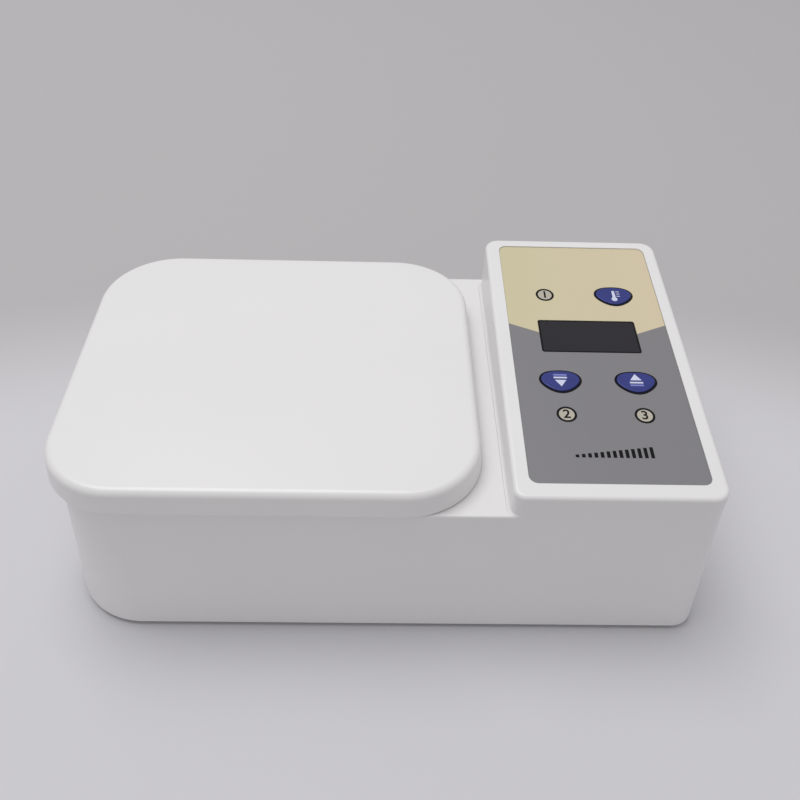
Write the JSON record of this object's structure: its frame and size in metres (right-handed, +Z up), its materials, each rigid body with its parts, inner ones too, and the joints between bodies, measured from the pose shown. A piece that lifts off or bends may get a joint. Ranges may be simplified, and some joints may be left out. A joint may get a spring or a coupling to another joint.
{
  "type": "wax melter",
  "caption": "Bench-top wax melter: white moulded body, lift-off lid over a pan of wells, and a raised sloping control panel with a digital display and keys.",
  "frame": {"origin": "on the bench, below the middle of the whole object's box", "axes": "+X towards the control panel, -Y towards the user, +Z up"},
  "size_m": [0.2282, 0.1394, 0.0786],
  "materials": {
    "shell_plastic": "moulded, satin gloss",
    "lid_plastic": "moulded, satin gloss",
    "base_plastic": "moulded, fine grain",
    "foot_rubber": "matt",
    "pan_aluminium": "cast, bead blasted",
    "gasket_silicone": "matt",
    "fastener_steel": "zinc plated",
    "heater_silicone": "woven face",
    "clamp_aluminium": "rolled",
    "insulation_fibre": "felted",
    "shield_steel": "galvanised",
    "sensor_nickel": "plated",
    "cutout_phenolic": "moulded",
    "label_film": "printed film, fine grain",
    "window_acrylic": "polished",
    "key_blue": "moulded",
    "switch_black": "moulded",
    "rocker_black": "moulded",
    "pin_nickel": "plated",
    "board_laminate": "solder mask",
    "display_case": "moulded",
    "lamp_epoxy": "clear",
    "core_iron": "varnished laminations",
    "winding_tape": "tape",
    "relay_blue": "moulded",
    "capacitor_sleeve": "shrink sleeve",
    "fuse_glass": "clear",
    "clip_tin": "tinned",
    "terminal_green": "moulded",
    "lead_silicone": "silicone sleeve",
    "ribbon_grey": "flat cable"
  },
  "bodies": {
    "base": {"base_plate": "base_plastic", "base_screws": "fastener_steel", "capacitor": "capacitor_sleeve", "clamp_plate": "clamp_aluminium", "cutout_screws": "fastener_steel", "display_board": "board_laminate", "display_board_screws": "fastener_steel", "display_window": "window_acrylic", "earth_lead": "lead_silicone", "foot_front_left": "foot_rubber", "foot_front_right": "foot_rubber", "foot_rear_left": "foot_rubber", "foot_rear_right": "foot_rubber", "fuse": "fuse_glass", "fuse_clips": "clip_tin", "heat_shield": "shield_steel", "heater_leads": "lead_silicone", "heater_mat": "heater_silicone", "heater_terminals": "terminal_green", "housing": "shell_plastic", "indicator_lamps": "lamp_epoxy", "inlet_pins": "pin_nickel", "insulation_pad": "insulation_fibre", "key_switches": "switch_black", "label_film": "label_film", "led_display": "display_case", "mains_inlet": "switch_black", "mains_leads": "lead_silicone", "mains_terminals": "terminal_green", "melting_pan": "pan_aluminium", "pan_gasket": "gasket_silicone", "pan_nuts": "fastener_steel", "pan_studs": "fastener_steel", "pan_washers": "fastener_steel", "power_board": "board_laminate", "power_board_screws": "fastener_steel", "relay": "relay_blue", "ribbon_cable": "ribbon_grey", "ribbon_connectors": "switch_black", "rocker_switch_body": "switch_black", "rocker_switch_tabs": "pin_nickel", "sensor_lead": "lead_silicone", "sensor_screw": "fastener_steel", "stack_nuts": "fastener_steel", "stack_studs": "fastener_steel", "temperature_sensor": "sensor_nickel", "thermal_cutout": "cutout_phenolic", "transformer_core": "core_iron", "transformer_winding": "winding_tape"},
    "lid": {"lid": "lid_plastic"},
    "rocker": {"rocker": "rocker_black"},
    "key_down": {"key_down": "key_blue", "key_plunger_down": "switch_black"},
    "key_up": {"key_up": "key_blue", "key_plunger_up": "switch_black"},
    "key_unit": {"key_unit": "key_blue", "key_plunger_unit": "switch_black"}
  },
  "joints": [
    {"name": "lid_lift", "type": "slide", "parent": "base", "child": "lid", "axis": [0, 0, 1], "range_m": [0, 0.08]},
    {"name": "key_down_press", "type": "slide", "parent": "base", "child": "key_down", "axis": [0, 0.083, -0.9966], "range_m": [0, 0.0005], "stiffness_N_per_m": 2500, "springref_m": -0.0001},
    {"name": "key_up_press", "type": "slide", "parent": "base", "child": "key_up", "axis": [0, 0.083, -0.9966], "range_m": [0, 0.0005], "stiffness_N_per_m": 2500, "springref_m": -0.0001},
    {"name": "key_unit_press", "type": "slide", "parent": "base", "child": "key_unit", "axis": [0, 0.083, -0.9966], "range_m": [0, 0.0005], "stiffness_N_per_m": 2500, "springref_m": -0.0001},
    {"name": "rocker_tilt", "type": "hinge", "parent": "base", "child": "rocker", "pos_m": [0.0817, 0.0655, 0.03], "axis": [1, 0, 0], "range_deg": [0, 22]}
  ]
}
